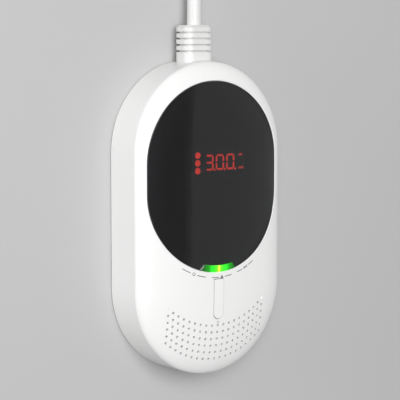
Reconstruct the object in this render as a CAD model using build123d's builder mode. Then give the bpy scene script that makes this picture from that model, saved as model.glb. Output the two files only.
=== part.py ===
"""Mains-powered carbon monoxide and gas detector with a moulded-on supply cord.

Frame, in millimetres: the rear mounting face lies in z = 0 and +Z points out of the domed front.
+Y points to the end where the cord leaves, which is the top when the detector hangs on a wall.
+X is to the right, seen from the front.  The origin is the centre of the rear face.
"""

import os
from math import cos, pi, radians, sin, sqrt, tan

from build123d import *

# ------------------------------------------------------------------ driving sizes: casing
body_radius = 34.3          # half width, and the radius of both round ends
body_height = 120.0
body_depth = 22.6
crown_height = 7.1          # how far the front domes out above the upright side
side_wall = 2.2
front_wall = 2.9
rear_wall = 2.0
cover_gap = 0.15            # all round, between the rear cover and the front shell
rear_edge_chamfer = 0.5

# smoked window
window_radius = 30.4
window_height = 72.6
window_center_y = 16.4
window_gap = 0.12
lens_thickness = 1.2
mask_thickness = 0.2
seat_gap = 0.02
window_lip_radius = 0.4     # rounded edge of the casing round the window

# status light bar at the lower edge of the window
guide_width = 2.5
guide_outer_half_angle = 15.2
guide_inner_half_angle = 13.3
guide_gap = 0.1
guide_proud = 0.12
guide_bottom_z = 15.0

# test button
button_width = 4.4
button_top_y = -22.6
button_bottom_y = -37.9
button_gap = 0.25
button_proud = 0.2
button_underside_z = 18.2
button_press_angle = 1.6    # degrees
pivot_y = -25.2
pivot_radius = 0.7
pivot_clearance = 0.05
pivot_length = 8.4
ear_thickness = 1.6
pusher_radius = 1.4
pusher_gap = 0.05

# grille
grille_radius = 34.46
grille_center_y = -6.1
grille_columns = 19
grille_rows = 6
grille_step_angle = 4.53
grille_row_pitch = 2.64
grille_hole_radius = 0.5
dimple_depth = 0.4
screen_thickness = 0.3

# wall keyholes
keyhole_radius = 4.0
keyhole_slot_width = 4.0
keyhole_slot_length = 9.0
keyhole_y = 14.0

# vents and rating label in the rear cover
vent_x = 15.0
vent_y = -38.0
vent_rows = 5
vent_pitch = 4.0
vent_length = 10.0
vent_width = 1.6
label_size = (34.0, 14.0)
label_y = 36.0
label_corner = 1.4
label_thickness = 0.17
label_recess = 0.3
label_recess_gap = 0.2
label_glue_gap = 0.01

# casing screws
boss_x = 28.0
boss_y = 19.0
boss_radius = 3.0
screw_radius = 1.3
screw_fit = 0.05
screw_head_radius = 2.5
screw_head_height = 1.7
screw_length = 12.0
counterbore_gap = 0.3

# boards
board_thickness = 1.6
main_board_radius = 28.3
main_board_bottom_z = 5.0
main_board_top_y = 46.0
display_board_thickness = 1.2
display_board_bottom_z = 12.0
display_board_half_width = 24.3
display_board_low_y = -30.0
display_board_high_y = 31.0
tongue_half_width = 4.4
tongue_low_y = -38.6
small_screw_radius = 1.0
small_head_radius = 1.9
small_head_height = 1.2
small_screw_length = 6.0
post_radius = 2.3
main_post_points = [(-22.0, 33.0), (22.0, 33.0), (-22.0, -10.0), (22.0, -10.0)]
display_post_points = [(-20.5, 27.0), (20.5, 27.0), (-20.5, -26.0), (20.5, -26.0)]

# parts on the boards
link_center = (-15.0, 4.0)
link_size = (2.5, 20.0)
led_points = [(-4.2, -18.6), (0.0, -18.9), (4.2, -18.6)]
led_size = (2.8, 1.4)
led_height = 1.0
chip_center = (4.0, 4.0)
chip_side = 9.0
chip_height = 1.5
chip_standoff = 0.2
chip_leg_pitch = 1.27
chip_leg_span = 10.4
chip_leg_size = (0.45, 1.6)
chip_leg_height = 0.6
chip_legs = 6
small_part_height = 0.7

# power parts
transformer_center = (-12.0, 40.0)
transformer_core_size = (14.0, 10.0, 6.0)
transformer_core_low = 2.0
winding_size = (12.0, 11.6)
winding_cap_size = (9.0, 9.0)
winding_cap_height = 0.8
capacitor_center = (12.5, 39.5)
capacitor_radius = 4.0
capacitor_height = 9.5
fuse_y = 37.0
fuse_radius = 1.5
fuse_length = 8.0
fuse_standoff = 0.1
terminal_y = 43.0
terminal_size = (9.0, 5.4, 7.0)
terminal_hole_radius = 1.3
terminal_hole_depth = 1.5
terminal_hole_x = 2.4

# display
display_center = (1.9, 21.9)
display_size = (26.5, 11.0)
display_top_z = 20.3
display_opening_gap = 0.3
digit_height = 6.05
digit_width = 3.9
digit_pitch = 4.97
digit_left_x = -5.15
segment_width = 0.72
segment_gap = 0.16
segment_height = 0.1
point_radius = 0.42
dot_x = -8.7
dot_radius = 1.22
dot_pitch = 2.95

# switch
switch_y = -34.5
switch_size = 6.0
switch_height = 3.1
plunger_radius = 1.5
plunger_height = 1.1
plunger_clearance = 0.06

# sensors and sounder
cell_center = (12.8, -43.0)
cell_radius = 9.0
cell_height = 6.4
cell_cap_height = 1.2
cell_mouth_radius = 3.2
sounder_center = (-12.8, -43.0)
sounder_radius = 9.0
sounder_height = 6.0
sounder_wall = 0.8
sounder_mouth_radius = 1.5
disc_radius = 7.6
disc_thickness = 0.3
gas_sensor_center = (0.0, -48.5)
gas_sensor_radius = 3.6
gas_sensor_height = 5.2
gas_base_height = 1.4

# supply cord and its fittings
cord_diameter = 5.6
cord_axis_z = 6.9
boot_width = 13.2
boot_thickness = 9.6
boot_corner = 3.4
boot_top_y = 73.6
boot_groove_ys = [63.7, 66.1, 68.5, 70.8]
boot_groove_width = 0.7
boot_groove_depth = 1.3
boot_hole_gap = 0.08
flange_extra = 2.4
flange_thickness = 2.0
flange_outer_y = 56.6
stub_inner_y = 50.6
bore_gap = 0.04
clamp_length_y = 3.0
clamp_y = 52.4
clamp_half_width = 9.0
clamp_height = 4.4
clamp_post_x = 6.9
lead_radius = 0.8

# coil, tie and plug
coil_center = (-8.4, 147.0)
coil_mean_radius = 32.8
coil_columns = 4
coil_layers = 2
tie_thickness = 1.0
tie_width = 10.0
tie_side_slack = 0.4
tie_height_slack = 0.15
plug_center = (-3.2, 168.7)     # where the cord enters the plug, seen from above
plug_rest_gap = 0.35            # between the plug and the coil that it lies on
plug_relief_length = 13.0
plug_length = 25.0
plug_width = 23.0
plug_thickness = 17.0
plug_corner = 4.0
plug_shoulder_radius = 3.0
plug_face_radius = 0.6
relief_thin_wall = 0.9
relief_thick_wall = 2.6
relief_overlap = 1.0
blade_tip_chamfer = 0.4
blade_spacing = 12.7
blade_width = 6.35
blade_thickness = 1.5
blade_length = 17.0

# ------------------------------------------------------------------ sizes that follow
cap_span = body_height - 2 * body_radius
side_top = body_depth - crown_height
cap_center_y = cap_span / 2
cavity_radius = body_radius - side_wall
cavity_crown = crown_height - front_wall
window_span = window_height - 2 * window_radius
window_low_center_y = window_center_y - window_span / 2
seat_depth = lens_thickness + mask_thickness + 2 * seat_gap
main_board_top_z = main_board_bottom_z + board_thickness
display_board_top_z = display_board_bottom_z + display_board_thickness
switch_top_z = display_board_top_z + switch_height
plunger_top_z = switch_top_z + plunger_height
cord_radius = cord_diameter / 2
coil_bottom_z = tie_thickness + tie_height_slack
coil_bundle_height = coil_layers * cord_diameter
low_layer_z = coil_bottom_z + cord_radius
high_layer_z = low_layer_z + cord_diameter
plug_axis_z = coil_bottom_z + coil_bundle_height + plug_rest_gap + plug_thickness / 2
far_above = body_depth + 10.0

os.makedirs("parts", exist_ok=True)


def dome_height(distance, radius=body_radius, crown=crown_height):
    """Height of a dome of the given size at a distance from its spine."""
    return side_top + crown * sqrt(max(0.0, 1 - (distance / radius) ** 2))


def save(piece, name):
    piece.part.label = name
    export_step(piece.part, f"parts/{name}.step")


def pill(radius, crown, floor):
    """Upright-sided form with two round ends and an elliptical dome over its whole width."""
    with BuildPart() as form:
        with BuildSketch(Plane.XZ.offset(-cap_center_y)):
            with BuildLine():
                Line((-radius, floor), (radius, floor))
                Line((radius, floor), (radius, side_top))
                EllipticalCenterArc((0, side_top), radius, crown, start_angle=0, arc_size=180)
                Line((-radius, side_top), (-radius, floor))
            make_face()
        extrude(amount=cap_span)
        with BuildSketch(Plane.XZ.offset(-cap_center_y)):
            with BuildLine():
                Line((0, floor), (radius, floor))
                Line((radius, floor), (radius, side_top))
                EllipticalCenterArc((0, side_top), radius, crown, start_angle=0, arc_size=90)
                Line((0, side_top + crown), (0, floor))
            make_face()
        revolve(axis=Axis((0, cap_center_y, 0), (0, 0, 1)), revolution_arc=180)
        with BuildSketch(Plane.XZ.offset(cap_center_y)):
            with BuildLine():
                Line((0, floor), (-radius, floor))
                Line((-radius, floor), (-radius, side_top))
                EllipticalCenterArc((0, side_top), radius, crown, start_angle=90, arc_size=90)
                Line((0, side_top + crown), (0, floor))
            make_face()
        revolve(axis=Axis((0, -cap_center_y, 0), (0, 0, 1)), revolution_arc=180)
    return form.part


def prism(center, radius, span, low, high):
    """Upright prism with two round ends, `span` apart along Y."""
    with BuildPart() as form:
        with BuildSketch(Plane.XY.offset(low)):
            with Locations(center):
                if span > 0:
                    SlotCenterToCenter(span, 2 * radius, rotation=90)
                else:
                    Circle(radius)
        extrude(amount=high - low)
    return form.part


def guide_prism(gap, low, high):
    """Upright prism under the light bar: a ring sector whose ends lean inwards."""
    outer = window_radius - window_gap + gap
    inner = window_radius - guide_width - gap
    low_angle = radians(guide_outer_half_angle) + gap / outer
    high_angle = radians(guide_inner_half_angle) + gap / inner

    def at(radius, angle):
        return (radius * sin(angle), window_low_center_y - radius * cos(angle))

    with BuildPart() as form:
        with BuildSketch(Plane.XY.offset(low)):
            with BuildLine():
                ThreePointArc(at(outer, -low_angle), at(outer, 0), at(outer, low_angle))
                Line(at(outer, low_angle), at(inner, high_angle))
                ThreePointArc(at(inner, high_angle), at(inner, 0), at(inner, -high_angle))
                Line(at(inner, -high_angle), at(outer, -low_angle))
            make_face()
        extrude(amount=high - low)
    return form.part


def button_prism(gap, low, high):
    """Upright prism of the button's outline: square at its hinge end, round at its free end."""
    half = button_width / 2 + gap
    round_y = button_bottom_y + button_width / 2
    with BuildPart() as form:
        with BuildSketch(Plane.XY.offset(low)):
            with BuildLine():
                Line((half, round_y), (half, button_top_y + gap))
                Line((half, button_top_y + gap), (-half, button_top_y + gap))
                Line((-half, button_top_y + gap), (-half, round_y))
                ThreePointArc((-half, round_y), (0, round_y - half), (half, round_y))
            make_face()
        extrude(amount=high - low)
    return form.part


def grille_point(row, column):
    angle = radians((column - (grille_columns - 1) / 2) * grille_step_angle)
    x = grille_radius * sin(angle)
    y = grille_center_y - grille_radius * cos(angle) - row * grille_row_pitch
    return (x, y)


def boss_points():
    return [(sx * boss_x, sy * boss_y) for sx in (-1, 1) for sy in (-1, 1)]


# ------------------------------------------------------------------ shared forms
outer_form = pill(body_radius, crown_height, 0.0)
seat_form = pill(body_radius - seat_depth, crown_height - seat_depth, 0.0)
cavity_form = pill(cavity_radius, cavity_crown, -1.0)

last = grille_columns - 1
through_points = [
    grille_point(row, column)
    for row in range(grille_rows)
    for column in range(grille_columns)
    if row > 0 or column not in (0, last)
]
dimple_points = [grille_point(0, 0), grille_point(0, last)]

# ------------------------------------------------------------------ front cover
def spine_distance(point):
    """Distance from the line between the centres of the casing's two round ends."""
    return sqrt(point.X**2 + max(0.0, abs(point.Y) - cap_center_y) ** 2)


def window_distance(point):
    """Distance outside the window's outline."""
    beyond = max(0.0, abs(point.Y - window_center_y) - window_span / 2)
    return sqrt(point.X**2 + beyond**2) - window_radius


def on_window_lip(edge):
    """True for an edge that runs where the window's outline meets the dome."""
    points = [edge @ share for share in (0.1, 0.5, 0.9)]
    on_outline = all(abs(window_distance(point)) < 0.02 for point in points)
    on_dome = all(abs(point.Z - dome_height(spine_distance(point))) < 0.02 for point in points)
    return on_outline and on_dome


with BuildPart() as lens_recess:
    add(prism((0, window_center_y), window_radius, window_span, side_top - 3, far_above))
    add(seat_form, mode=Mode.SUBTRACT)

ear_low_z = button_underside_z - 1.6
ear_inner_x = button_width / 2 + button_gap + 0.1
with BuildPart() as cover_extras:
    for point in boss_points():
        add(prism(point, boss_radius, 0, rear_wall + 2.2, side_top + 2))
    for point in display_post_points:
        add(prism(point, post_radius, 0, display_board_top_z, side_top + 3))
    for side in (-1, 1):
        ear_x = side * (ear_inner_x + ear_thickness / 2)
        with Locations((ear_x, pivot_y, (ear_low_z + body_depth - 1.6) / 2)):
            Box(ear_thickness, 3.4, body_depth - 1.6 - ear_low_z)
    add(pill(body_radius - 1.0, crown_height - 1.5, 0.0), mode=Mode.INTERSECT)

with BuildPart() as front_cover:
    add(outer_form)
    chamfer(front_cover.faces().sort_by(Axis.Z)[0].edges(), rear_edge_chamfer)
    add(cavity_form, mode=Mode.SUBTRACT)
    add(cover_extras.part)
    add(lens_recess.part, mode=Mode.SUBTRACT)
    fillet([edge for edge in front_cover.edges() if on_window_lip(edge)], window_lip_radius)
    # openings behind the window
    with BuildSketch(Plane.XY.offset(side_top)):
        with Locations(display_center):
            Rectangle(display_size[0] + 2 * display_opening_gap, display_size[1] + 2 * display_opening_gap)
    extrude(amount=far_above - side_top, mode=Mode.SUBTRACT)
    add(guide_prism(guide_gap, side_top, far_above), mode=Mode.SUBTRACT)
    add(button_prism(button_gap, side_top, far_above), mode=Mode.SUBTRACT)
    # grille
    with BuildSketch(Plane.XY.offset(side_top - 6)):
        with Locations(*through_points):
            Circle(grille_hole_radius)
    extrude(amount=far_above - side_top, mode=Mode.SUBTRACT)
    for x, y in dimple_points:
        surface_z = dome_height(sqrt(x**2 + (abs(y) - cap_center_y) ** 2))
        with BuildSketch(Plane.XY.offset(surface_z - dimple_depth)):
            with Locations((x, y)):
                Circle(grille_hole_radius)
        extrude(amount=3.0, mode=Mode.SUBTRACT)
    # pilot holes in the bosses and posts
    with BuildSketch(Plane.XY.offset(rear_wall + 2.0)):
        with Locations(*boss_points()):
            Circle(screw_radius + screw_fit)
    extrude(amount=screw_length, mode=Mode.SUBTRACT)
    with BuildSketch(Plane.XY.offset(display_board_top_z - 0.5)):
        with Locations(*display_post_points):
            Circle(small_screw_radius + screw_fit)
    extrude(amount=small_screw_length - display_board_thickness + 0.7, mode=Mode.SUBTRACT)
    # pivot bore through both ears
    with BuildSketch(Plane.YZ.offset(-pivot_length / 2 - 0.2)):
        with Locations((pivot_y, button_underside_z)):
            Circle(pivot_radius + pivot_clearance)
    extrude(amount=pivot_length + 0.4, mode=Mode.SUBTRACT)
    # cord entry
    with BuildSketch(Plane.XZ.offset(-flange_outer_y)):
        with Locations((0, cord_axis_z)):
            RectangleRounded(
                boot_width + 2 * boot_hole_gap,
                boot_thickness + 2 * boot_hole_gap,
                boot_corner + boot_hole_gap,
            )
    extrude(amount=-(body_height / 2 - flange_outer_y + 5), mode=Mode.SUBTRACT)
save(front_cover, "front_cover")

# ------------------------------------------------------------------ rear cover
plate_radius = cavity_radius - cover_gap
rim_thickness = 1.3
rim_height = 2.4
entry_half_width = boot_width / 2 + flange_extra + 1.5
with BuildPart() as rear_cover:
    add(prism((0, 0), plate_radius, cap_span, 0, rear_wall))
    with BuildSketch(Plane.XY.offset(rear_wall)) as rim:
        SlotCenterToCenter(cap_span, 2 * plate_radius, rotation=90)
        SlotCenterToCenter(cap_span, 2 * (plate_radius - rim_thickness), rotation=90, mode=Mode.SUBTRACT)
        with Locations((0, body_height / 2)):
            Rectangle(2 * entry_half_width, body_height / 3, mode=Mode.SUBTRACT)
        with Locations(*boss_points()):
            Circle(boss_radius + 0.6, mode=Mode.SUBTRACT)
    extrude(amount=rim_height)
    # bosses under the casing screws, posts under the main board, posts and cradle for the cord clamp
    for point in boss_points():
        add(prism(point, boss_radius, 0, rear_wall / 2, rear_wall + 2.0))
    for point in main_post_points:
        add(prism(point, post_radius, 0, rear_wall / 2, main_board_bottom_z))
    for side in (-1, 1):
        add(prism((side * clamp_post_x, clamp_y), post_radius - 0.3, 0, rear_wall / 2, cord_axis_z - 0.2))
    with Locations((0, clamp_y, (rear_wall / 2 + cord_axis_z - 1.5) / 2)):
        Box(6.6, clamp_length_y, cord_axis_z - 1.5 - rear_wall / 2)
    with BuildSketch(Plane.XZ.offset(-clamp_y + clamp_length_y)):
        with Locations((0, cord_axis_z)):
            Circle(cord_radius + bore_gap)
    extrude(amount=-2 * clamp_length_y, mode=Mode.SUBTRACT)
    # screw holes with counterbores for the heads
    with BuildSketch(Plane.XY.offset(-0.1)):
        with Locations(*boss_points()):
            Circle(screw_radius + 0.25)
    extrude(amount=rear_wall + 3, mode=Mode.SUBTRACT)
    with BuildSketch(Plane.XY.offset(-0.1)):
        with Locations(*boss_points()):
            Circle(screw_head_radius + counterbore_gap)
    extrude(amount=screw_head_height + 0.3 + 0.1, mode=Mode.SUBTRACT)
    with BuildSketch(Plane.XY.offset(rear_wall + 0.6)):
        with Locations(*main_post_points):
            Circle(small_screw_radius + screw_fit)
        with Locations((-clamp_post_x, clamp_y), (clamp_post_x, clamp_y)):
            Circle(small_screw_radius + screw_fit)
    extrude(amount=main_board_bottom_z + 2, mode=Mode.SUBTRACT)
    # keyholes: a round entry with a slot towards the top of the wall
    with BuildSketch(Plane.XY.offset(-0.1)):
        for y in (-keyhole_y, keyhole_y):
            with Locations((0, y)):
                Circle(keyhole_radius)
            with Locations((0, y + keyhole_slot_length / 2)):
                SlotCenterToCenter(keyhole_slot_length, keyhole_slot_width, rotation=90)
    extrude(amount=rear_wall + 0.2, mode=Mode.SUBTRACT)
    # vents
    with BuildSketch(Plane.XY.offset(-0.1)):
        for x in (-vent_x, vent_x):
            with Locations((x, vent_y)):
                with GridLocations(0, vent_pitch, 1, vent_rows):
                    SlotCenterToCenter(vent_length, vent_width)
    extrude(amount=rear_wall + 0.2, mode=Mode.SUBTRACT)
    # shallow panel for the rating label
    with BuildSketch():
        with Locations((0, label_y)):
            RectangleRounded(
                label_size[0] + 2 * label_recess_gap,
                label_size[1] + 2 * label_recess_gap,
                label_corner + label_recess_gap,
            )
    extrude(amount=label_recess, mode=Mode.SUBTRACT)
save(rear_cover, "rear_cover")

with BuildPart() as rating_label:
    with BuildSketch(Plane.XY.offset(label_recess - label_thickness - label_glue_gap)):
        with Locations((0, label_y)):
            RectangleRounded(*label_size, label_corner)
    extrude(amount=label_thickness)
save(rating_label, "rating_label")

# ------------------------------------------------------------------ window, mask and light bar
lens_form = pill(body_radius - lens_thickness, crown_height - lens_thickness, 0.0)
mask_top_form = pill(
    body_radius - lens_thickness - seat_gap, crown_height - lens_thickness - seat_gap, 0.0
)
mask_low_form = pill(
    body_radius - lens_thickness - seat_gap - mask_thickness,
    crown_height - lens_thickness - seat_gap - mask_thickness,
    0.0,
)

with BuildPart() as display_window:
    add(prism((0, window_center_y), window_radius - window_gap, window_span, side_top - 3, far_above))
    add(outer_form, mode=Mode.INTERSECT)
    add(lens_form, mode=Mode.SUBTRACT)
    add(guide_prism(guide_gap, 0, far_above), mode=Mode.SUBTRACT)
save(display_window, "display_window")

with BuildPart() as window_mask:
    add(prism((0, window_center_y), window_radius - window_gap, window_span, side_top - 3, far_above))
    add(mask_top_form, mode=Mode.INTERSECT)
    add(mask_low_form, mode=Mode.SUBTRACT)
    add(guide_prism(guide_gap, 0, far_above), mode=Mode.SUBTRACT)
    with BuildSketch():
        with Locations(display_center):
            Rectangle(display_size[0] - 1.0, display_size[1] - 1.0)
    extrude(amount=far_above, mode=Mode.SUBTRACT)
save(window_mask, "window_mask")

with BuildPart() as status_light_bar:
    add(guide_prism(0.0, guide_bottom_z, far_above))
    add(pill(body_radius + guide_proud, crown_height + guide_proud, 0.0), mode=Mode.INTERSECT)
save(status_light_bar, "status_light_bar")

# ------------------------------------------------------------------ test button and switch
with BuildPart() as test_button:
    add(button_prism(0.0, button_underside_z, far_above))
    add(pill(body_radius + button_proud, crown_height + button_proud, 0.0), mode=Mode.INTERSECT)
    with BuildSketch(Plane.YZ.offset(-pivot_length / 2)):
        with Locations((pivot_y, button_underside_z)):
            Circle(pivot_radius)
    extrude(amount=pivot_length)
    with BuildSketch(Plane.XY.offset(plunger_top_z + pusher_gap)):
        with Locations((0, switch_y)):
            Circle(pusher_radius)
    extrude(amount=button_underside_z + 0.5 - plunger_top_z - pusher_gap)
save(test_button, "test_button")

with BuildPart() as test_switch:
    with Locations((0, switch_y, display_board_top_z + switch_height / 2)):
        Box(switch_size, switch_size, switch_height)
    chamfer(test_switch.edges().filter_by(Axis.Z), 0.5)
    with Locations((0, switch_y, switch_top_z)):
        Hole(plunger_radius + plunger_clearance, 1.6)
save(test_switch, "test_switch")

with BuildPart() as switch_plunger:
    add(prism((0, switch_y), plunger_radius, 0, switch_top_z - 1.0, plunger_top_z))
    chamfer(switch_plunger.faces().sort_by(Axis.Z)[-1].edges(), 0.2)
save(switch_plunger, "switch_plunger")

# ------------------------------------------------------------------ display
with BuildPart() as display_module:
    with BuildSketch(Plane.XY.offset(display_board_top_z)):
        with Locations(display_center):
            Rectangle(*display_size)
    extrude(amount=display_top_z - display_board_top_z)
save(display_module, "display_module")


def segment_outlines():
    """The seven bars of one digit, keyed by their usual letters, about the digit's lower left."""
    w, h, t, g = digit_width, digit_height, segment_width, segment_gap
    mid = h / 2
    across = w - t - 2 * g
    upright = mid - t / 2 - 2 * g
    centers = {
        "a": (w / 2, h - t / 2, across, 0),
        "b": (w - t / 2, mid + mid / 2 - t / 4, upright, 90),
        "c": (w - t / 2, mid / 2 + t / 4, upright, 90),
        "d": (w / 2, t / 2, across, 0),
        "e": (t / 2, mid / 2 + t / 4, upright, 90),
        "f": (t / 2, mid + mid / 2 - t / 4, upright, 90),
        "g": (w / 2, mid, across, 0),
    }
    return centers


def bar(length, width):
    """Points of one display bar: a strip with pointed ends, centred on its own origin."""
    tip, shoulder, half = length / 2, length / 2 - width / 2, width / 2
    return [(-tip, 0), (-shoulder, half), (shoulder, half), (tip, 0), (shoulder, -half), (-shoulder, -half)]


lit_digits = ["abcdg", "abcdef", "abcdef"]


def segment_part(lit):
    """All bars that are lit, or all that are dark, as thin inlays on the display's face."""
    low_y = display_center[1] - digit_height / 2
    with BuildPart() as inlays:
        with BuildSketch(Plane.XY.offset(display_top_z)):
            for place, letters in enumerate(lit_digits):
                left_x = digit_left_x + place * digit_pitch
                for letter, (x, y, length, turn) in segment_outlines().items():
                    if (letter in letters) == lit:
                        with Locations(Location((left_x + x, low_y + y, 0), (0, 0, turn))):
                            Polygon(*bar(length, segment_width), align=None)
                if lit:
                    with Locations((left_x + digit_width + 0.42, low_y + point_radius * 0.5)):
                        Circle(point_radius)
        extrude(amount=segment_height)
    return inlays


save(segment_part(True), "lit_segments")
save(segment_part(False), "dark_segments")

with BuildPart() as level_dots:
    with BuildSketch(Plane.XY.offset(display_top_z)):
        with Locations((dot_x, display_center[1])):
            with GridLocations(0, dot_pitch, 1, 3):
                Circle(dot_radius)
    extrude(amount=segment_height)
save(level_dots, "level_dots")

with BuildPart() as display_pins:
    with BuildSketch(Plane.XY.offset(display_board_bottom_z - 1.2)):
        with Locations(display_center):
            with GridLocations(2.54, display_size[1] - 2.0, 9, 2):
                Rectangle(0.5, 0.5)
    extrude(amount=1.2)
save(display_pins, "display_pins")

# ------------------------------------------------------------------ boards
with BuildPart() as display_board:
    with BuildSketch(Plane.XY.offset(display_board_bottom_z)):
        with Locations((0, (display_board_low_y + display_board_high_y) / 2)):
            RectangleRounded(
                2 * display_board_half_width, display_board_high_y - display_board_low_y, 3.0
            )
        with Locations((0, (tongue_low_y + display_board_low_y + 4) / 2)):
            Rectangle(2 * tongue_half_width, display_board_low_y + 4 - tongue_low_y)
        with Locations(*display_post_points):
            Circle(small_screw_radius + 0.2, mode=Mode.SUBTRACT)
    extrude(amount=display_board_thickness)
save(display_board, "display_board")

with BuildPart() as main_board:
    with BuildSketch(Plane.XY.offset(main_board_bottom_z)):
        SlotCenterToCenter(cap_span, 2 * main_board_radius, rotation=90)
        with Locations((0, main_board_top_y + body_radius)):
            Rectangle(2 * body_radius, 2 * body_radius, mode=Mode.SUBTRACT)
        with Locations(*boss_points()):
            Circle(boss_radius + 0.8, mode=Mode.SUBTRACT)
        with Locations(*main_post_points):
            Circle(small_screw_radius + 0.2, mode=Mode.SUBTRACT)
    extrude(amount=board_thickness)
save(main_board, "main_board")

with BuildPart() as board_link:
    with BuildSketch(Plane.XY.offset(main_board_top_z)):
        with Locations(link_center):
            Rectangle(*link_size)
    extrude(amount=display_board_bottom_z - main_board_top_z)
save(board_link, "board_link")

with BuildPart() as status_leds:
    with BuildSketch(Plane.XY.offset(display_board_top_z)):
        with Locations(*led_points):
            Rectangle(*led_size)
    extrude(amount=led_height)
save(status_leds, "status_leds")

with BuildPart() as controller_chip:
    with BuildSketch(Plane.XY.offset(main_board_top_z + chip_standoff)):
        with Locations(chip_center):
            Rectangle(chip_side, chip_side)
    extrude(amount=chip_height)
    chamfer(controller_chip.faces().sort_by(Axis.Z)[-1].edges(), 0.3)
    with BuildSketch(Plane.XY.offset(main_board_top_z)):
        with Locations(chip_center):
            with GridLocations(chip_leg_pitch, chip_leg_span, chip_legs, 2):
                Rectangle(*chip_leg_size)
    extrude(amount=chip_leg_height)
save(controller_chip, "controller_chip")

with BuildPart() as board_parts:
    with BuildSketch(Plane.XY.offset(main_board_top_z)):
        with Locations((14.0, 4.0)):
            with GridLocations(3.2, 3.0, 2, 5):
                Rectangle(1.8, 1.1)
        with Locations((-4.0, -12.0)):
            with GridLocations(3.0, 3.6, 4, 2):
                Rectangle(1.1, 1.8)
    extrude(amount=small_part_height)
save(board_parts, "board_parts")

# ------------------------------------------------------------------ sensors and sounder
cell_top_z = main_board_top_z + cell_height
with BuildPart() as co_cell_can:
    add(prism(cell_center, cell_radius, 0, main_board_top_z, cell_top_z))
    fillet(co_cell_can.faces().sort_by(Axis.Z)[-1].edges(), 0.6)
save(co_cell_can, "co_cell_can")

with BuildPart() as co_cell_cap:
    add(prism(cell_center, cell_radius - 1.6, 0, cell_top_z, cell_top_z + cell_cap_height))
    with BuildSketch(Plane.XY.offset(cell_top_z)):
        with Locations(cell_center):
            with PolarLocations(cell_mouth_radius, 6):
                Circle(0.7)
    extrude(amount=cell_cap_height, mode=Mode.SUBTRACT)
save(co_cell_cap, "co_cell_cap")

sounder_top_z = main_board_top_z + sounder_height
with BuildPart() as sounder_case:
    add(prism(sounder_center, sounder_radius, 0, main_board_top_z, sounder_top_z))
    add(
        prism(
            sounder_center,
            sounder_radius - sounder_wall,
            0,
            main_board_top_z + sounder_wall,
            sounder_top_z - sounder_wall,
        ),
        mode=Mode.SUBTRACT,
    )
    add(
        prism(sounder_center, sounder_mouth_radius, 0, sounder_top_z - 1.5, sounder_top_z + 1),
        mode=Mode.SUBTRACT,
    )
save(sounder_case, "sounder_case")

with BuildPart() as sounder_disc:
    low = main_board_top_z + sounder_wall
    add(prism(sounder_center, disc_radius, 0, low, low + disc_thickness))
    add(prism(sounder_center, disc_radius * 0.6, 0, low + disc_thickness, low + 2 * disc_thickness))
save(sounder_disc, "sounder_disc")

with BuildPart() as gas_sensor_base:
    add(
        prism(gas_sensor_center, gas_sensor_radius, 0, main_board_top_z, main_board_top_z + gas_base_height)
    )
save(gas_sensor_base, "gas_sensor_base")

with BuildPart() as gas_sensor_cap:
    low = main_board_top_z + gas_base_height
    high = main_board_top_z + gas_sensor_height
    add(prism(gas_sensor_center, gas_sensor_radius - 0.3, 0, low, high))
    add(prism(gas_sensor_center, gas_sensor_radius - 0.7, 0, low, high - 0.4), mode=Mode.SUBTRACT)
    add(prism(gas_sensor_center, 1.6, 0, high - 1, high + 1), mode=Mode.SUBTRACT)
save(gas_sensor_cap, "gas_sensor_cap")

# insect screen: a thin dished sheet just inside the grille
screen_gap = 0.1
with BuildPart() as insect_screen:
    with BuildSketch(Plane.XY.offset(side_top - 4)):
        SlotCenterToCenter(cap_span, 2 * (cavity_radius - 0.8), rotation=90)
        with Locations((0, button_bottom_y - 1.0 + body_height / 2)):
            Rectangle(2 * body_radius, body_height, mode=Mode.SUBTRACT)
    extrude(amount=far_above)
    add(pill(cavity_radius - screen_gap, cavity_crown - screen_gap, 0.0), mode=Mode.INTERSECT)
    add(
        pill(
            cavity_radius - screen_gap - screen_thickness,
            cavity_crown - screen_gap - screen_thickness,
            0.0,
        ),
        mode=Mode.SUBTRACT,
    )
save(insect_screen, "insect_screen")

# ------------------------------------------------------------------ power parts
with BuildPart() as transformer_core:
    core_middle_z = main_board_top_z + transformer_core_low + transformer_core_size[2] / 2
    with Locations((*transformer_center, core_middle_z)):
        Box(*transformer_core_size)
save(transformer_core, "transformer_core")

with BuildPart() as transformer_coil:
    core_top_z = main_board_top_z + transformer_core_low + transformer_core_size[2]
    with Locations((*transformer_center, main_board_top_z + transformer_core_low / 2)):
        Box(*winding_size, transformer_core_low)
    with Locations((*transformer_center, core_top_z + winding_cap_height / 2)):
        Box(*winding_cap_size, winding_cap_height)
save(transformer_coil, "transformer_coil")

with BuildPart() as storage_capacitor:
    capacitor_top_z = main_board_top_z + capacitor_height
    add(prism(capacitor_center, capacitor_radius, 0, main_board_top_z, capacitor_top_z))
    fillet(storage_capacitor.faces().sort_by(Axis.Z)[-1].edges(), 0.6)
save(storage_capacitor, "storage_capacitor")

with BuildPart() as inlet_fuse:
    with BuildSketch(Plane.YZ.offset(fuse_length / 2)):
        with Locations((fuse_y, main_board_top_z + fuse_radius + fuse_standoff)):
            Circle(fuse_radius)
    extrude(amount=-fuse_length)
save(inlet_fuse, "inlet_fuse")

with BuildPart() as terminal_block:
    terminal_top_z = main_board_top_z + terminal_size[2]
    with Locations((0, terminal_y, main_board_top_z + terminal_size[2] / 2)):
        Box(*terminal_size)
    with BuildSketch(Plane.XY.offset(terminal_top_z - terminal_hole_depth)):
        with Locations((-terminal_hole_x, terminal_y), (terminal_hole_x, terminal_y)):
            Circle(terminal_hole_radius)
    extrude(amount=terminal_hole_depth, mode=Mode.SUBTRACT)
save(terminal_block, "terminal_block")


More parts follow.
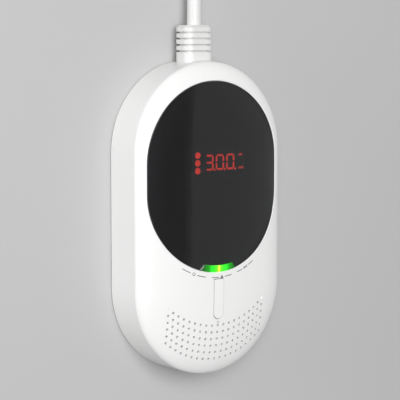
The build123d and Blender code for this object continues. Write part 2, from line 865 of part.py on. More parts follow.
# ------------------------------------------------------------------ screws
def screw(head_radius, head_height, shank_radius, length, low_z, flip):
    """Group of equal screws: heads below and points up, or with flip the other way."""
    sign = -1 if flip else 1

    def make(points):
        with BuildPart() as group:
            for x, y in points:
                with BuildSketch(Plane.XY.offset(low_z)):
                    with Locations((x, y)):
                        Circle(head_radius)
                extrude(amount=sign * head_height)
                with BuildSketch(Plane.XY.offset(low_z)):
                    with Locations((x, y)):
                        RectangleRounded(head_radius * 1.1, 0.6, 0.25)
                        RectangleRounded(0.6, head_radius * 1.1, 0.25)
                extrude(amount=sign * head_height * 0.6, mode=Mode.SUBTRACT)
                with BuildSketch(Plane.XY.offset(low_z + sign * head_height)):
                    with Locations((x, y)):
                        Circle(shank_radius)
                extrude(amount=sign * (length - head_height))
        return group

    return make


case_screw = screw(screw_head_radius, screw_head_height, screw_radius, screw_length, 0.2, False)
save(case_screw(boss_points()), "case_screws")

low_z = display_board_bottom_z - small_head_height
display_screw = screw(
    small_head_radius, small_head_height, small_screw_radius, small_screw_length, low_z, False
)
save(display_screw(display_post_points), "display_board_screws")

high_z = main_board_top_z + small_head_height
main_screw = screw(small_head_radius, small_head_height, small_screw_radius, 5.0, high_z, True)
save(main_screw(main_post_points), "main_board_screws")

# ------------------------------------------------------------------ cord entry
with BuildPart() as cord_boot:
    with BuildSketch(Plane.XZ.offset(-flange_outer_y)):
        with Locations((0, cord_axis_z)):
            RectangleRounded(boot_width, boot_thickness, boot_corner)
    extrude(amount=-(boot_top_y - flange_outer_y))
    chamfer(cord_boot.faces().sort_by(Axis.Y)[-1].edges(), 0.9)
    for groove_y in boot_groove_ys:
        with BuildSketch(Plane.XZ.offset(-groove_y + boot_groove_width / 2)):
            with Locations((0, cord_axis_z)):
                Rectangle(boot_width + 2, boot_thickness + 2)
                RectangleRounded(
                    boot_width - 2 * boot_groove_depth,
                    boot_thickness - 2 * boot_groove_depth,
                    boot_corner - boot_groove_depth,
                    mode=Mode.SUBTRACT,
                )
        extrude(amount=-boot_groove_width, mode=Mode.SUBTRACT)
    with BuildSketch(Plane.XZ.offset(-flange_outer_y)):
        with Locations((0, cord_axis_z)):
            RectangleRounded(boot_width + 2 * flange_extra, boot_thickness, boot_corner)
    extrude(amount=flange_thickness)
    with BuildSketch(Plane.XZ.offset(-flange_outer_y + flange_thickness + 1)):
        with Locations((0, cord_axis_z)):
            Circle(cord_radius + bore_gap)
    extrude(amount=-(boot_top_y - flange_outer_y + flange_thickness + 2), mode=Mode.SUBTRACT)
save(cord_boot, "cord_boot")

with BuildPart() as cord_inner_end:
    with BuildSketch(Plane.XZ.offset(-stub_inner_y)):
        with Locations((0, cord_axis_z)):
            Circle(cord_radius)
    extrude(amount=-(boot_top_y - stub_inner_y))
save(cord_inner_end, "cord_inner_end")

with BuildPart() as cord_clamp:
    with Locations((0, clamp_y, cord_axis_z + clamp_height / 2)):
        Box(2 * clamp_half_width, clamp_length_y, clamp_height)
    with BuildSketch(Plane.XZ.offset(-clamp_y + clamp_length_y)):
        with Locations((0, cord_axis_z)):
            Circle(cord_radius + bore_gap)
    extrude(amount=-2 * clamp_length_y, mode=Mode.SUBTRACT)
    with BuildSketch(Plane.XY.offset(cord_axis_z + 2.0)):
        with Locations((-clamp_half_width, clamp_y), (clamp_half_width, clamp_y)):
            Rectangle(2 * (clamp_half_width - clamp_post_x) + 4.4, 2 * clamp_length_y)
    extrude(amount=clamp_height, mode=Mode.SUBTRACT)
    with BuildSketch(Plane.XY.offset(cord_axis_z - 1)):
        with Locations((-clamp_post_x, clamp_y), (clamp_post_x, clamp_y)):
            Circle(small_screw_radius + 0.2)
    extrude(amount=clamp_height + 2, mode=Mode.SUBTRACT)
save(cord_clamp, "cord_clamp")

high_z = cord_axis_z + 2.0 + small_head_height
clamp_screw = screw(small_head_radius - 0.2, small_head_height, small_screw_radius, 6.0, high_z, True)
save(clamp_screw([(-clamp_post_x, clamp_y), (clamp_post_x, clamp_y)]), "clamp_screws")

for side, name in ((-1, "live_lead"), (1, "neutral_lead")):
    start = (side * 1.3, stub_inner_y, cord_axis_z)
    with BuildPart() as lead:
        with BuildLine() as lead_path:
            FilletPolyline(
                start,
                (side * 1.3, stub_inner_y - 1.2, cord_axis_z),
                (side * 2.4, 47.4, main_board_top_z + 3.6),
                (side * 2.4, 45.7, main_board_top_z + 3.6),
                radius=1.0,
            )
        with BuildSketch(Plane(lead_path.line @ 0, z_dir=lead_path.line % 0)):
            Circle(lead_radius)
        sweep()
    save(lead, name)

# ------------------------------------------------------------------ cord outside the casing
# the lead leaves straight, comes down to the table and bends into the coil's outer turn
lead_route = [
    (0.0, boot_top_y, cord_axis_z),
    (0.0, 85.5, cord_axis_z),
    (2.0, 94.3, 5.4),
    (5.8, 102.4, 4.1),
    (11.2, 109.6, low_layer_z),
    (18.1, 115.4, low_layer_z),
]
# the tail leaves the top outer turn, winds on up over the coil and enters the plug that lies on it
tail_route = [
    (24.3, 121.2, high_layer_z),
    (30.3, 131.6, 10.2),
    (31.6, 143.5, 13.0),
    (27.8, 154.9, 16.2),
    (19.8, 163.8, 19.2),
    (8.8, plug_center[1], plug_axis_z),
    (plug_center[0], plug_center[1], plug_axis_z),
]


def route_radii(points):
    """Largest arc at each inner point: 0.45 of the shorter run over the tangent of half the turn."""
    radii = []
    for before, here, after in zip(points, points[1:], points[2:]):
        arriving = Vector(*here) - Vector(*before)
        leaving = Vector(*after) - Vector(*here)
        half_turn = radians(arriving.get_angle(leaving)) / 2
        radii.append(0.45 * min(arriving.length, leaving.length) / tan(half_turn))
    return radii


def cord_tube(points, name):
    radii = route_radii(points)
    with BuildPart() as tube:
        with BuildLine() as path:
            FilletPolyline(*points, radius=radii)
        with BuildSketch(Plane(path.line @ 0, z_dir=path.line % 0)):
            Circle(cord_radius)
        sweep()
    length = sum(edge.length for edge in path.line.edges())
    share = tube.part.volume / (pi * cord_radius**2 * length)
    print(name, "length", round(length, 1), "volume share", round(share, 4))
    print("  radii", [round(radius, 1) for radius in radii])
    save(tube, name)
    return length


lead_length = cord_tube(lead_route, "cord_lead")
tail_length = cord_tube(tail_route, "cord_tail")

# the coil's outer shape: a ring as wide as its columns and as high as its layers
ring_half_width = coil_columns * cord_radius
ring_middle_z = coil_bottom_z + coil_bundle_height / 2
with BuildPart() as cord_coil:
    with BuildSketch(Plane.XZ.offset(-coil_center[1])):
        with Locations((coil_center[0] + coil_mean_radius, ring_middle_z)):
            RectangleRounded(2 * ring_half_width, coil_bundle_height, cord_radius)
    revolve(axis=Axis((coil_center[0], coil_center[1], 0), (0, 0, 1)))
save(cord_coil, "cord_coil")

# a strap round the bundle on the side away from the lead
with BuildPart() as cord_tie:
    with BuildSketch(Plane.XZ.offset(-coil_center[1] - tie_width / 2)):
        with Locations((coil_center[0] - coil_mean_radius, ring_middle_z)):
            RectangleRounded(
                2 * (ring_half_width + tie_thickness + tie_side_slack),
                coil_bundle_height + 2 * (tie_thickness + tie_height_slack),
                cord_radius + tie_thickness,
            )
    extrude(amount=tie_width)
    add(cord_coil.part, mode=Mode.SUBTRACT)
save(cord_tie, "cord_tie")

# ------------------------------------------------------------------ plug, pointing to -X
relief_end_x = plug_center[0] - plug_relief_length
plug_end_x = relief_end_x - plug_length
with BuildPart() as plug_body:
    with BuildSketch(Plane.YZ.offset(relief_end_x)):
        with Locations((plug_center[1], plug_axis_z)):
            RectangleRounded(plug_width, plug_thickness, plug_corner)
    extrude(amount=-plug_length)
    fillet(plug_body.faces().sort_by(Axis.X)[-1].edges(), plug_shoulder_radius)
    fillet(plug_body.faces().sort_by(Axis.X)[0].edges(), plug_face_radius)
    with BuildSketch(Plane.YZ.offset(plug_center[0])):
        with Locations((plug_center[1], plug_axis_z)):
            Circle(cord_radius + relief_thin_wall)
    with BuildSketch(Plane.YZ.offset(relief_end_x - relief_overlap)):
        with Locations((plug_center[1], plug_axis_z)):
            Circle(cord_radius + relief_thick_wall)
    loft()
save(plug_body, "plug_body")

with BuildPart() as plug_blades:
    with BuildSketch(Plane.YZ.offset(plug_end_x)):
        with Locations((plug_center[1], plug_axis_z)):
            with GridLocations(blade_spacing, 0, 2, 1):
                Rectangle(blade_thickness, blade_width)
    extrude(amount=-blade_length)
    chamfer(plug_blades.faces().group_by(Axis.X)[0].edges(), blade_tip_chamfer)
save(plug_blades, "plug_blades")

# the low layer has a turn in every column and the high layer in all but the outer one
inner_turn_radius = coil_mean_radius - ring_half_width + cord_radius
column_radii = [inner_turn_radius + column * cord_diameter for column in range(coil_columns)]
coil_length = 2 * pi * (sum(column_radii) + sum(column_radii[:-1]))
print("cord length about", round(lead_length + tail_length + coil_length), "mm")
print("button pusher drop", round((pivot_y - switch_y) * sin(radians(button_press_angle)), 3))
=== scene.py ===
# %% [markdown]
# A carbon monoxide and gas detector, lying on its back on a pale table.
# The casing, window, key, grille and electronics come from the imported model, which is the fixed frame.
# This script gives every one of those pieces a finish, lays the supply cord as one long curve, and adds
# the plain printed marks, which are thin film and easier to make here than in the solid model.

# %% Load the frame
from math import atan2, cos, degrees, pi, radians, sin, sqrt

import bpy
from mathutils import Matrix, Vector


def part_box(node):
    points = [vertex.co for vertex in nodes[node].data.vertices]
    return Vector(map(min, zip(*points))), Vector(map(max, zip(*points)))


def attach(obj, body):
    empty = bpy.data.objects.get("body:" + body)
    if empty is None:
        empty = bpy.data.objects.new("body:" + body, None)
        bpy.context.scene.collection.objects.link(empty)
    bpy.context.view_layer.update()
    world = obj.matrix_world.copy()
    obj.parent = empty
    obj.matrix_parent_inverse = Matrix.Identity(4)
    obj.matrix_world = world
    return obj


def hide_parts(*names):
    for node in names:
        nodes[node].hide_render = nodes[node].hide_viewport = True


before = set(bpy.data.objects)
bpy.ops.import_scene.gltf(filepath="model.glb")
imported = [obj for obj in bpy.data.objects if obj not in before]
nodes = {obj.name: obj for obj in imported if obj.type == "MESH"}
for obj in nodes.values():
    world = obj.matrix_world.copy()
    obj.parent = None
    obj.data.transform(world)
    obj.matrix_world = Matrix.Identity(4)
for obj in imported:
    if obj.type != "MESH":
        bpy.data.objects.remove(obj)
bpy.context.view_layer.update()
MM = 0.001

# %% [markdown]
# Everything is in metres and most sizes of this object are a few millimetres, so MM turns one into the
# other. The casing is a dome over a shape with two round ends. Its surface is needed again and again, for
# the marks that lie on it, so it is worked out here from the boxes of the pieces that show it.

# %% The casing's surface
cover_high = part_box("front_cover")[1]
half_width = cover_high.x
cap_center_y = cover_high.y - half_width
window_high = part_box("display_window")[1]
window_radius = window_high.x
# the light bar's lower edge follows the window's lower arc, so it gives the arc's centre
arc_center_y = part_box("status_light_bar")[0].y + window_radius
CROWN = 7.1 * MM
side_top = cover_high.z - CROWN


def dome_z(x, y):
    """Height of the domed front above the rear face at a place on it."""
    beyond = max(0.0, abs(y) - cap_center_y)
    share = min(1.0, sqrt(x * x + beyond * beyond) / half_width)
    return side_top + CROWN * sqrt(1.0 - share * share)


print("half width", round(half_width / MM, 2), "mm, dome top", round(dome_z(0, 0) / MM, 2), "mm")

# %% [markdown]
# The camera comes first, because the room that the cord may take depends on what the camera sees.
# A long lens from the upper left shows the left side wall and the front together, with almost parallel
# edges. The three directions of the camera are written as the columns of its matrix, which says exactly
# how it is turned without any angles to convert.

# %% Camera
camera_data = bpy.data.cameras.new("camera")
camera_data.sensor_width = 36.0
camera_data.lens = 153.33
camera = bpy.data.objects.new("camera", camera_data)
bpy.context.scene.collection.objects.link(camera)
camera_right = Vector((0.79632, 0.0, 0.60487))
camera_up = Vector((0.06254, 0.99464, -0.08233))
camera_back = camera_right.cross(camera_up).normalized()
camera_place = Vector((-0.39433, 0.07444, 0.52981))
camera.matrix_world = Matrix(
    (
        (camera_right.x, camera_up.x, camera_back.x, camera_place.x),
        (camera_right.y, camera_up.y, camera_back.y, camera_place.y),
        (camera_right.z, camera_up.z, camera_back.z, camera_place.z),
        (0.0, 0.0, 0.0, 1.0),
    )
)
bpy.context.scene.camera = camera
print("camera distance", round(camera_place.length, 3), "m")

# %% [markdown]
# The supply cord is a round two-core flex, 5.6 mm thick and 1.5 m long. It could be a swept tube, but a
# bevelled NURBS curve is better: its line stays smooth between a few points, and its length can be
# measured. The coil takes whole turns, so the curve comes out about 3 % over. The cord leaves the strain
# relief straight, comes down to the table and bends into a neat coil held by a strap. From the coil's top
# outer turn it winds on up into the plug, which lies on the coil. The free points are listed. The
# coil's points come from a loop: four turns in the low layer from the outside in, then three on top of
# them from the inside out. A turn climbs or steps sideways where the turns next to it leave room, so that
# no two of them pass through each other.

# %% Cord route
CORD_RADIUS = 2.8 * MM
lead_points = [
    (0.0, 73.6, 6.9),
    (0.0, 85.5, 6.9),
    (2.0, 94.3, 5.4),
    (5.8, 102.4, 4.1),
    (11.2, 109.6, 3.95),
    (18.1, 115.4, 3.95),
]
tail_points = [
    (24.3, 121.2, 9.55),
    (30.3, 131.6, 10.2),
    (31.6, 143.5, 13.0),
    (27.8, 154.9, 16.2),
    (19.8, 163.8, 19.2),
    (8.8, 168.7, 21.2),
    (-3.2, 168.7, 21.2),
]
coil_center = (-8.4, 147.0)
OUTER_TURN = 41.2
LOW_LAYER = 3.95
# where the cord changes its place (degrees since the coil began), and its new radius and height
coil_moves = [
    (288, 360, 35.6, 3.95),
    (648, 720, 30.0, 3.95),
    (1008, 1080, 24.4, 3.95),
    (1296, 1368, 24.4, 9.55),
    (1584, 1656, 30.0, 9.55),
    (1944, 2016, 35.6, 9.55),
    (2304, 2376, 41.2, 9.55),
]
COIL_START = -50
COIL_END = 2520
COIL_STEP = 18


def coil_place(angle):
    """Radius and height of the cord in the coil after it has turned by an angle."""
    radius, height = OUTER_TURN, LOW_LAYER
    for start, stop, next_radius, next_height in coil_moves:
        share = min(1.0, max(0.0, (angle - start) / (stop - start)))
        share = share * share * (3 - 2 * share)
        radius += (next_radius - radius) * share
        height += (next_height - height) * share
    return radius, height


coil_points = []
for angle in range(COIL_STEP, COIL_END + 1, COIL_STEP):
    radius, height = coil_place(angle)
    turn = radians(COIL_START + angle)
    coil_points.append((coil_center[0] + radius * cos(turn), coil_center[1] + radius * sin(turn), height))
print("coil turns", round(COIL_END / 360, 2), "with", len(coil_points), "points")

# %% [markdown]
# The bevel is one and each point's radius is the cord's own. The tube is the same as with a bevel of the
# cord's radius and points of radius one, but the curve's box counts the point radius, so only this way
# round is the curve's box the real one.

# %% Cord curve
route = lead_points + coil_points + tail_points
cord_data = bpy.data.curves.new("supply_cord", "CURVE")
cord_data.dimensions = "3D"
cord_data.bevel_depth = 1.0
cord_data.bevel_resolution = 5
cord_data.resolution_u = 6
cord_data.use_fill_caps = True
spline = cord_data.splines.new("NURBS")
spline.points.add(len(route) - 1)
for point, place in zip(spline.points, route):
    point.co = (place[0] * MM, place[1] * MM, place[2] * MM, 1.0)
    point.radius = CORD_RADIUS
spline.order_u = 3
spline.use_endpoint_u = True
supply_cord = bpy.data.objects.new("supply_cord", cord_data)
bpy.context.scene.collection.objects.link(supply_cord)
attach(supply_cord, "casing")
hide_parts("cord_lead", "cord_tail", "cord_coil")
cord_length = spline.calc_length()
print("cord length", round(cord_length, 3), "m")

# %% [markdown]
# A plain pale floor and large soft lights, as in a product studio. The window is a dark mirror, so what
# stands round the object matters as much as how bright it is. The key light is at the upper left, where
# the window can't show it to this camera, and lights the front and the left wall. Wide dim panels on the
# right are what the right part of the window reflects; the left part reflects the darker room above.
# The key leans towards the cord's end, so the front and the wall darken a little towards the grille.

# %% Floor
FLOOR_SIZE = 6.0
FLOOR_GAP = 0.2 * MM
bpy.ops.object.select_all(action="DESELECT")
bpy.ops.mesh.primitive_plane_add(size=FLOOR_SIZE, location=(0.0, 0.0, -FLOOR_GAP))
floor = bpy.context.object
floor.name = "floor"

# %% Lights
WORLD_STRENGTH = 0.17
# three panels in one place, each a little wider, give the reflection a soft edge
RIGHT_WIDTHS = (1.07, 1.16, 1.26)
world = bpy.data.worlds.new("studio")
bpy.context.scene.world = world
world.use_nodes = True
world.node_tree.nodes["Background"].inputs["Color"].default_value = (1.0, 1.0, 1.0, 1.0)
world.node_tree.nodes["Background"].inputs["Strength"].default_value = WORLD_STRENGTH


def soft_panel(name, direction, distance, size, radiance):
    """A rectangular light that faces the object; its power follows from how bright its face is."""
    data = bpy.data.lights.new(name, "AREA")
    data.shape = "RECTANGLE"
    data.size, data.size_y = size
    data.energy = radiance * pi * size[0] * size[1]
    lamp = bpy.data.objects.new(name, data)
    bpy.context.scene.collection.objects.link(lamp)
    towards = Vector(direction).normalized()
    lamp.rotation_mode = "QUATERNION"
    lamp.rotation_quaternion = towards.to_track_quat("Z", "Y")
    lamp.location = towards * distance
    return lamp


soft_panel("key_panel", (-0.38, 0.22, 0.90), 1.2, (0.80, 0.80), 6.9)
soft_panel("left_panel", (-0.97, 0.20, 0.14), 0.8, (0.4, 0.12), 10.0)
for number, width in enumerate(RIGHT_WIDTHS):
    soft_panel(f"right_panel_{number}", (0.86, -0.05, 0.52), 1.0, (1.7, width), 0.22)
bpy.context.scene.view_settings.view_transform = "Standard"

# %% [markdown]
# Materials. Moulded plastic is never perfectly even: it has a fine grain that breaks up highlights, and
# broad, faint changes in gloss where it has been handled. Several finishes need that, so it is one shader
# node group with its own inputs. It gives out a height for a Bump node, a roughness and a tint, and each
# material sets the scale and the strength.


# %% Shared group: moulded surface
def make_surface_group():
    """Fine grain, broad gloss changes and a faint tint, all read from the piece's own coordinates."""
    group = bpy.data.node_groups.new("moulded_surface", "ShaderNodeTree")
    face = group.interface
    face.new_socket("Grain Scale", in_out="INPUT", socket_type="NodeSocketFloat").default_value = 3000.0
    face.new_socket("Roughness", in_out="INPUT", socket_type="NodeSocketFloat").default_value = 0.3
    face.new_socket("Roughness Change", in_out="INPUT", socket_type="NodeSocketFloat").default_value = 0.06
    face.new_socket("Color", in_out="INPUT", socket_type="NodeSocketColor")
    face.new_socket("Tint", in_out="INPUT", socket_type="NodeSocketFloat").default_value = 0.03
    face.new_socket("Color", in_out="OUTPUT", socket_type="NodeSocketColor")
    face.new_socket("Roughness", in_out="OUTPUT", socket_type="NodeSocketFloat")
    face.new_socket("Height", in_out="OUTPUT", socket_type="NodeSocketFloat")
    tree = group.nodes
    link = group.links.new
    start = tree.new("NodeGroupInput")
    end = tree.new("NodeGroupOutput")
    place = tree.new("ShaderNodeTexCoord")
    grain = tree.new("ShaderNodeTexNoise")
    grain.inputs["Detail"].default_value = 2.0
    link(place.outputs["Object"], grain.inputs["Vector"])
    link(start.outputs["Grain Scale"], grain.inputs["Scale"])
    broad = tree.new("ShaderNodeTexNoise")
    broad.inputs["Scale"].default_value = 45.0
    broad.inputs["Detail"].default_value = 3.0
    link(place.outputs["Object"], broad.inputs["Vector"])
    centred = tree.new("ShaderNodeMath")
    centred.operation = "SUBTRACT"
    centred.inputs[1].default_value = 0.5
    link(broad.outputs["Fac"], centred.inputs[0])
    change = tree.new("ShaderNodeMath")
    change.operation = "MULTIPLY_ADD"
    link(centred.outputs[0], change.inputs[0])
    link(start.outputs["Roughness Change"], change.inputs[1])
    link(start.outputs["Roughness"], change.inputs[2])
    link(change.outputs[0], end.inputs["Roughness"])
    darker = tree.new("ShaderNodeMath")
    darker.operation = "MULTIPLY"
    link(broad.outputs["Fac"], darker.inputs[0])
    link(start.outputs["Tint"], darker.inputs[1])
    mix = tree.new("ShaderNodeMix")
    mix.data_type = "RGBA"
    mix.blend_type = "MULTIPLY"
    mix.inputs["B"].default_value = (0.72, 0.71, 0.68, 1.0)
    link(darker.outputs[0], mix.inputs["Factor"])
    link(start.outputs["Color"], mix.inputs["A"])
    link(mix.outputs["Result"], end.inputs["Color"])
    link(grain.outputs["Fac"], end.inputs["Height"])
    return group


surface_group = make_surface_group()


def material(name, color, roughness, grain=3000.0, bump=0.04, change=0.06, tint=0.05, **plain):
    """A Principled material whose colour, roughness and bump come from the moulded surface group."""
    made = bpy.data.materials.new(name)
    made.use_nodes = True
    tree = made.node_tree
    shader = tree.nodes["Principled BSDF"]
    skin = tree.nodes.new("ShaderNodeGroup")
    skin.node_tree = surface_group
    skin.inputs["Color"].default_value = (*color, 1.0)
    skin.inputs["Roughness"].default_value = roughness
    skin.inputs["Grain Scale"].default_value = grain
    skin.inputs["Roughness Change"].default_value = change
    skin.inputs["Tint"].default_value = tint
    tree.links.new(skin.outputs["Color"], shader.inputs["Base Color"])
    tree.links.new(skin.outputs["Roughness"], shader.inputs["Roughness"])
    relief = tree.nodes.new("ShaderNodeBump")
    relief.inputs["Strength"].default_value = bump
    relief.inputs["Distance"].default_value = 0.0001
    tree.links.new(skin.outputs["Height"], relief.inputs["Height"])
    tree.links.new(relief.outputs["Normal"], shader.inputs["Normal"])
    for socket, value in plain.items():
        shader.inputs[socket.replace("_", " ")].default_value = value
    return made


def dress(finish, *names):
    """Gives CAD nodes a finish; their meshes stay as they are."""
    for name in names:
        nodes[name].data.materials.clear()
        nodes[name].data.materials.append(finish)


# %% [markdown]
# The casing is glossy white ABS. A little subsurface softness would be true to life, but it costs render
# time and exports badly, so a high base colour with a clear gloss does the work.

# %% Casing, key and fittings
shell_white = material(
    "shell_white", (0.87, 0.87, 0.865), 0.24, grain=2200.0, bump=0.03, change=0.05, tint=0.03
)
dress(shell_white, "front_cover", "rear_cover", "test_button")
cord_white = material(
    "cord_white", (0.74, 0.74, 0.735), 0.42, grain=1500.0, bump=0.10, change=0.10, tint=0.06
)
dress(cord_white, "cord_boot", "cord_inner_end", "plug_body")
cord_data.materials.append(cord_white)
clamp_white = material("clamp_white", (0.80, 0.80, 0.79), 0.45)
dress(clamp_white, "cord_clamp")
tie_black = material("tie_black", (0.03, 0.03, 0.032), 0.75, grain=2600.0, bump=0.6, change=0.1)
dress(tie_black, "cord_tie")
floor_finish = material("floor_pale", (0.52, 0.52, 0.52), 0.65, grain=900.0, bump=0.02, tint=0.02)
floor.data.materials.append(floor_finish)

# %% [markdown]
# The window is smoked acrylic over a black printed film, so it shows the lit display and hides the rest.

# %% Window and film
smoked_window = material(
    "smoked_window", (0.60, 0.60, 0.62), 0.035, grain=160.0, bump=0.0, change=0.03, tint=0.04,
    IOR=1.49, Transmission_Weight=1.0,
)
dress(smoked_window, "display_window")
mask_black = material("mask_black", (0.006, 0.006, 0.007), 0.5, grain=900.0, bump=0.0, change=0.03, tint=0.02)
dress(mask_black, "window_mask")
display_face = material("display_face", (0.012, 0.012, 0.013), 0.55, bump=0.02)
dress(display_face, "display_module")
display_dark = material("display_dark", (0.022, 0.014, 0.014), 0.5, bump=0.02)
dress(display_dark, "dark_segments")


# %% Lit pieces
def lit(name, color, strength):
    """A glowing plastic: its colour is on the surface and in the light that it gives."""
    made = material(name, color, 0.35, bump=0.02)
    shader = made.node_tree.nodes["Principled BSDF"]
    shader.inputs["Emission Color"].default_value = (*color, 1.0)
    shader.inputs["Emission Strength"].default_value = strength
    return made


lit_red = lit("lit_red", (0.95, 0.05, 0.03), 0.45)
dress(lit_red, "lit_segments", "level_dots")
led_white = lit("led_white", (0.75, 1.0, 0.55), 0.6)
dress(led_white, "status_leds")

# %% [markdown]
# The light bar is a strip of clear plastic over three status lamps. The middle lamp makes a hot, almost
# yellow spot, and the green falls away towards both ends. A colour ramp along the bar's own X does that.


# %% Light bar
def make_light_bar():
    """Clear plastic lit from behind; the ramp runs along the bar's own X."""
    made = bpy.data.materials.new("light_bar")
    made.use_nodes = True
    tree = made.node_tree
    link = tree.links.new
    shader = tree.nodes["Principled BSDF"]
    low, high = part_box("status_light_bar")
    place = tree.nodes.new("ShaderNodeTexCoord")
    split = tree.nodes.new("ShaderNodeSeparateXYZ")
    link(place.outputs["Object"], split.inputs[0])
    along = tree.nodes.new("ShaderNodeMapRange")
    along.inputs["From Min"].default_value = low.x
    along.inputs["From Max"].default_value = high.x
    link(split.outputs["X"], along.inputs["Value"])
    ramp = tree.nodes.new("ShaderNodeValToRGB")
    ramp.color_ramp.elements[0].position = 0.06
    ramp.color_ramp.elements[0].color = (0.004, 0.10, 0.004, 1.0)
    ramp.color_ramp.elements[1].position = 0.94
    ramp.color_ramp.elements[1].color = (0.004, 0.10, 0.004, 1.0)
    for position, color in (
        (0.20, (0.008, 0.22, 0.008, 1.0)),
        (0.34, (0.02, 0.85, 0.02, 1.0)),
        (0.45, (0.10, 0.95, 0.02, 1.0)),
        (0.50, (0.75, 1.00, 0.05, 1.0)),
        (0.55, (0.10, 0.95, 0.02, 1.0)),
        (0.68, (0.02, 0.70, 0.02, 1.0)),
        (0.82, (0.008, 0.25, 0.008, 1.0)),
    ):
        stop = ramp.color_ramp.elements.new(position)
        stop.color = color
    link(along.outputs["Result"], ramp.inputs["Fac"])
    link(ramp.outputs["Color"], shader.inputs["Base Color"])
    link(ramp.outputs["Color"], shader.inputs["Emission Color"])
    shader.inputs["Emission Strength"].default_value = 0.75
    shader.inputs["Roughness"].default_value = 0.15
    return made


dress(make_light_bar(), "status_light_bar")

# %% [markdown]
# The electronics are hidden in the finished object, but they show when the cover is lifted off, so they
# get true finishes too: green boards, black chips, steel cans, brass and coloured sleeves.

# %% Electronics and metal
component_black = material("component_black", (0.03, 0.03, 0.032), 0.5, bump=0.08)
dress(
    component_black,
    "test_switch", "switch_plunger", "board_link", "controller_chip", "board_parts",
    "co_cell_cap", "sounder_case", "gas_sensor_base",
)
component_steel = material(
    "component_steel", (0.60, 0.60, 0.61), 0.32, grain=4000.0, bump=0.10, change=0.15, Metallic=1.0
)
dress(
    component_steel,
    "co_cell_can", "gas_sensor_cap", "case_screws", "display_board_screws", "main_board_screws",
    "clamp_screws",
)
board_green = material("board_green", (0.03, 0.20, 0.09), 0.35, grain=1800.0, bump=0.12, tint=0.2)
dress(board_green, "display_board", "main_board")
dress(material("tinned_metal", (0.66, 0.66, 0.64), 0.35, Metallic=1.0), "display_pins")
dress(material("disc_brass", (0.75, 0.58, 0.27), 0.35, Metallic=1.0), "sounder_disc")
dress(material("screen_grey", (0.18, 0.18, 0.18), 0.9, grain=5000.0, bump=0.8), "insect_screen")
dress(material("ferrite", (0.05, 0.05, 0.055), 0.6, bump=0.2), "transformer_core")
dress(material("winding_yellow", (0.78, 0.60, 0.10), 0.3), "transformer_coil")
dress(material("capacitor_sleeve", (0.04, 0.05, 0.10), 0.3), "storage_capacitor")
dress(material("fuse_glass", (0.75, 0.78, 0.75), 0.15), "inlet_fuse")
dress(material("terminal_green", (0.08, 0.33, 0.16), 0.45), "terminal_block")
dress(material("lead_brown", (0.20, 0.08, 0.04), 0.4), "live_lead")
dress(material("lead_blue", (0.04, 0.12, 0.55), 0.4), "neutral_lead")
dress(material("label_silver", (0.70, 0.71, 0.72), 0.38, grain=1200.0, bump=0.05), "rating_label")
dress(
    material("blade_brass", (0.80, 0.70, 0.46), 0.28, grain=3500.0, bump=0.08, change=0.12, Metallic=1.0),
    "plug_blades",
)

# %% [markdown]
# Marks on the case. A printed case carries a line of ink under the window, with a mark for each of the
# three states that the light bar shows. Here they are plain symbols and no words: a power ring, a
# triangle for a fault, and a dot with sound arcs for the alarm, each between two short rules. They
# could be a painted texture, but thin film on the dome keeps its edge sharp from close by. Each is cut
# from a flat disc as by hand: fill a circle, inset it, delete what isn't ink, then lay it on the dome.

# %% Tools for marks
ink_grey = material("ink_grey", (0.10, 0.10, 0.105), 0.5, bump=0.02)
ink_pale = material("ink_pale", (0.42, 0.42, 0.42), 0.5, bump=0.02)


def flat_ring(name, radius, width, start=-180.0, stop=180.0, corners=48):
    """A flat ring of ink round the origin, kept between two angles in degrees from straight down."""
    bpy.ops.object.select_all(action="DESELECT")
    bpy.ops.mesh.primitive_circle_add(vertices=corners, radius=radius + width / 2, fill_type="NGON")
    piece = bpy.context.object
    piece.name = name
    bpy.ops.object.mode_set(mode="EDIT")
    bpy.ops.mesh.select_mode(type="FACE")
    bpy.ops.mesh.select_all(action="SELECT")
    bpy.ops.mesh.inset(thickness=width)
    bpy.ops.mesh.delete(type="FACE")
    bpy.ops.mesh.select_all(action="DESELECT")
    bpy.ops.object.mode_set(mode="OBJECT")
    for face in piece.data.polygons:
        angle = degrees(atan2(face.center.x, -face.center.y))
        face.select = not start <= angle <= stop
    bpy.ops.object.mode_set(mode="EDIT")
    bpy.ops.mesh.delete(type="FACE")
    bpy.ops.object.mode_set(mode="OBJECT")
    return piece


def flat_bar(name, width, height, x=0.0, y=0.0):
    """A small upright bar of ink with its middle at a place."""
    bpy.ops.object.select_all(action="DESELECT")
    bpy.ops.mesh.primitive_plane_add(size=1.0)
    piece = bpy.context.object
    piece.name = name
    piece.data.transform(Matrix.Translation((x, y, 0)) @ Matrix.Diagonal((width, height, 1, 1)))
    return piece


def joined(name, pieces):
    """One piece from several that lie in the same plane."""
    bpy.ops.object.select_all(action="DESELECT")
    for piece in pieces:
        piece.select_set(True)
    bpy.context.view_layer.objects.active = pieces[0]
    bpy.ops.object.join()
    pieces[0].name = name
    return pieces[0]


def ink_on_dome(piece, finish, lift=0.015 * MM, film=0.03 * MM):
    """Lays a flat mesh on the casing's dome as a thin film, and lets it ride on the casing."""
    for vertex in piece.data.vertices:
        vertex.co.z = dome_z(vertex.co.x, vertex.co.y) + lift
    bpy.ops.object.select_all(action="DESELECT")
    bpy.context.view_layer.objects.active = piece
    solid = piece.modifiers.new("film", "SOLIDIFY")
    solid.thickness = film
    solid.offset = 1.0
    bpy.ops.object.modifier_apply(modifier="film")
    piece.data.materials.clear()
    piece.data.materials.append(finish)
    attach(piece, "casing")
    return piece


# %% Marks under the window
MARK_RADIUS = window_radius + 2.15 * MM
RULE_WIDTH = 0.26 * MM
SIGN_ROOM = 2.6
KEY_MARK_Y = -39.3 * MM


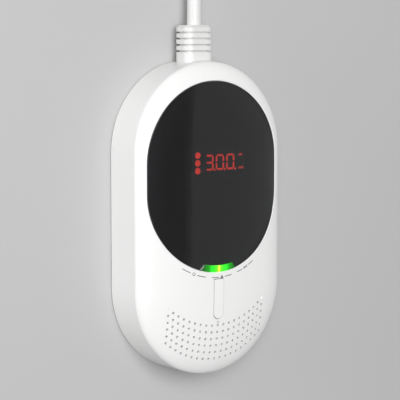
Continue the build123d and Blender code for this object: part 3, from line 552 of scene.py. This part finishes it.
def power_sign(name):
    """An open ring with a bar in its gap."""
    ring = flat_ring(name + "_ring", 0.56 * MM, 0.2 * MM, -140, 140)
    return [ring, flat_bar(name + "_bar", 0.2 * MM, 0.7 * MM, y=0.42 * MM)]


def fault_sign(name):
    """A triangle with a short bar in it."""
    frame_piece = flat_ring(name + "_triangle", 0.72 * MM, 0.24 * MM, corners=3)
    return [frame_piece, flat_bar(name + "_bar", 0.18 * MM, 0.36 * MM, y=0.06 * MM)]


def alarm_sign(name):
    """A dot with two sound arcs on each side."""
    dot = flat_ring(name + "_dot", 0.16 * MM, 0.3 * MM, corners=16)
    arcs = []
    for radius in (0.52 * MM, 0.9 * MM):
        for side in (-90, 90):
            arcs.append(flat_ring(f"{name}_arc", radius, 0.18 * MM, side - 38, side + 38))
    return [dot] + arcs


def mark(name, sign, middle, half_span):
    """A sign on the arc below the window, with a short rule on each side of it."""
    angle = radians(middle)
    place = Matrix.Translation((MARK_RADIUS * sin(angle), arc_center_y - MARK_RADIUS * cos(angle), 0))
    pieces = sign(name)
    for piece in pieces:
        piece.data.transform(place @ Matrix.Rotation(angle, 4, "Z"))
    for low, high in ((middle - half_span, middle - SIGN_ROOM), (middle + SIGN_ROOM, middle + half_span)):
        rule = flat_ring(name + "_rule", MARK_RADIUS, RULE_WIDTH, low, high, corners=360)
        rule.data.transform(Matrix.Translation((0, arc_center_y, 0)))
        pieces.append(rule)
    return ink_on_dome(joined(name, pieces), ink_grey)


mark("mark_power", power_sign, -21.0, 9.5)
mark("mark_fault", fault_sign, 2.5, 9.0)
mark("mark_alarm", alarm_sign, 24.0, 8.5)
key_mark = flat_ring("mark_key", 0.42 * MM, 0.2 * MM)
key_mark.data.transform(Matrix.Translation((0, KEY_MARK_Y, 0)))
ink_on_dome(key_mark, ink_pale)
print("marks at radius", round(MARK_RADIUS / MM, 2), "mm, arc centre", round(arc_center_y / MM, 2), "mm")

# %% [markdown]
# Beside its numbers the display shows which measure they are in. Two short rows of lit bars stand there,
# with no letters. They lie on the display's face, under the window.

# %% Measure marks
MARK_PITCH = 0.62 * MM
MARK_WIDTH = 0.3 * MM
MARK_HEIGHT = 0.9 * MM
MARK_FILM = 0.08 * MM
MARK_LIFT = 0.02 * MM


def measure_mark(name, bars, place_x, place_y):
    """A row of small lit bars on the display's face, with its middle at a place in millimetres."""
    first = place_x * MM - MARK_PITCH * (bars - 1) / 2
    pieces = [
        flat_bar(f"{name}_bar", MARK_WIDTH, MARK_HEIGHT, first + number * MARK_PITCH, place_y * MM)
        for number in range(bars)
    ]
    piece = joined(name, pieces)
    face_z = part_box("display_module")[1].z
    piece.data.transform(Matrix.Translation((0, 0, face_z + MARK_LIFT)))
    solid = piece.modifiers.new("film", "SOLIDIFY")
    solid.thickness = MARK_FILM
    solid.offset = 1.0
    bpy.ops.object.modifier_apply(modifier="film")
    piece.data.materials.clear()
    piece.data.materials.append(lit_red)
    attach(piece, "casing")
    print(name, bars, "bars at height", round(face_z / MM, 2), "mm")


measure_mark("measure_upper", 3, 11.6, 24.4)
measure_mark("measure_lower", 4, 11.9, 19.4)
